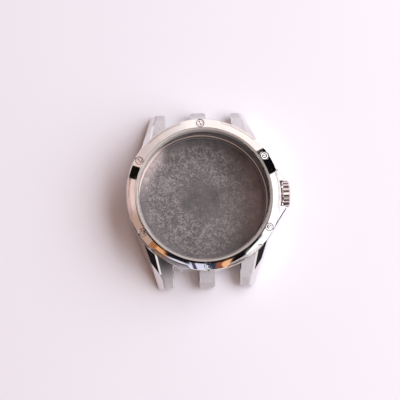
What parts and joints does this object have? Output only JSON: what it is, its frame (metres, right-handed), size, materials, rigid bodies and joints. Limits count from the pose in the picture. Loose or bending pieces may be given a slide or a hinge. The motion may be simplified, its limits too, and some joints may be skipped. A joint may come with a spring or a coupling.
{
  "type": "watch case",
  "caption": "Empty steel wristwatch case: polished screwed bezel with sunk arcs, flat glass, fluted crown, sloped lugs with centre tabs and a screwed back.",
  "frame": {"origin": "centre of the back's outer face, on the movement's axis", "axes": "+X to the crown at three o'clock, +Y to twelve o'clock, +Z out through the glass"},
  "size_m": [0.0469, 0.0512, 0.011],
  "materials": {
    "case_steel": "stainless steel, satin brushed on the lug slopes and polished on the bevels",
    "polished_steel": "mirror polished stainless steel",
    "screw_steel": "polished steel screws",
    "back_steel": "stainless steel, grained outside and left matt and mottled inside",
    "watch_glass": "clear polished mineral glass",
    "white_nylon": "translucent white nylon",
    "black_rubber": "matt black rubber"
  },
  "bodies": {
    "case": {"mid_case": "case_steel", "bezel": "polished_steel", "bezel_screws": "screw_steel", "bezel_gasket": "black_rubber", "crystal": "watch_glass", "crystal_gasket": "white_nylon", "crown_tube": "case_steel"},
    "crown_slide": {"crown_gasket": "black_rubber"},
    "crown_head": {"crown": "polished_steel", "crown_post": "case_steel", "crown_washer": "case_steel"},
    "back": {"case_back": "back_steel", "back_gasket": "black_rubber", "back_screws": "screw_steel"}
  },
  "joints": [
    {"name": "crown_pull", "type": "slide", "parent": "case", "child": "crown_slide", "axis": [1, 0, 0], "range_m": [0, 0.0008]},
    {"name": "crown_turn", "type": "hinge", "parent": "crown_slide", "child": "crown_head", "pos_m": [0.0225, 0, 0.0058], "axis": [1, 0, 0], "continuous": true},
    {"name": "back_off", "type": "slide", "parent": "case", "child": "back", "axis": [0, 0, -1], "range_m": [0, 0.02]}
  ]
}
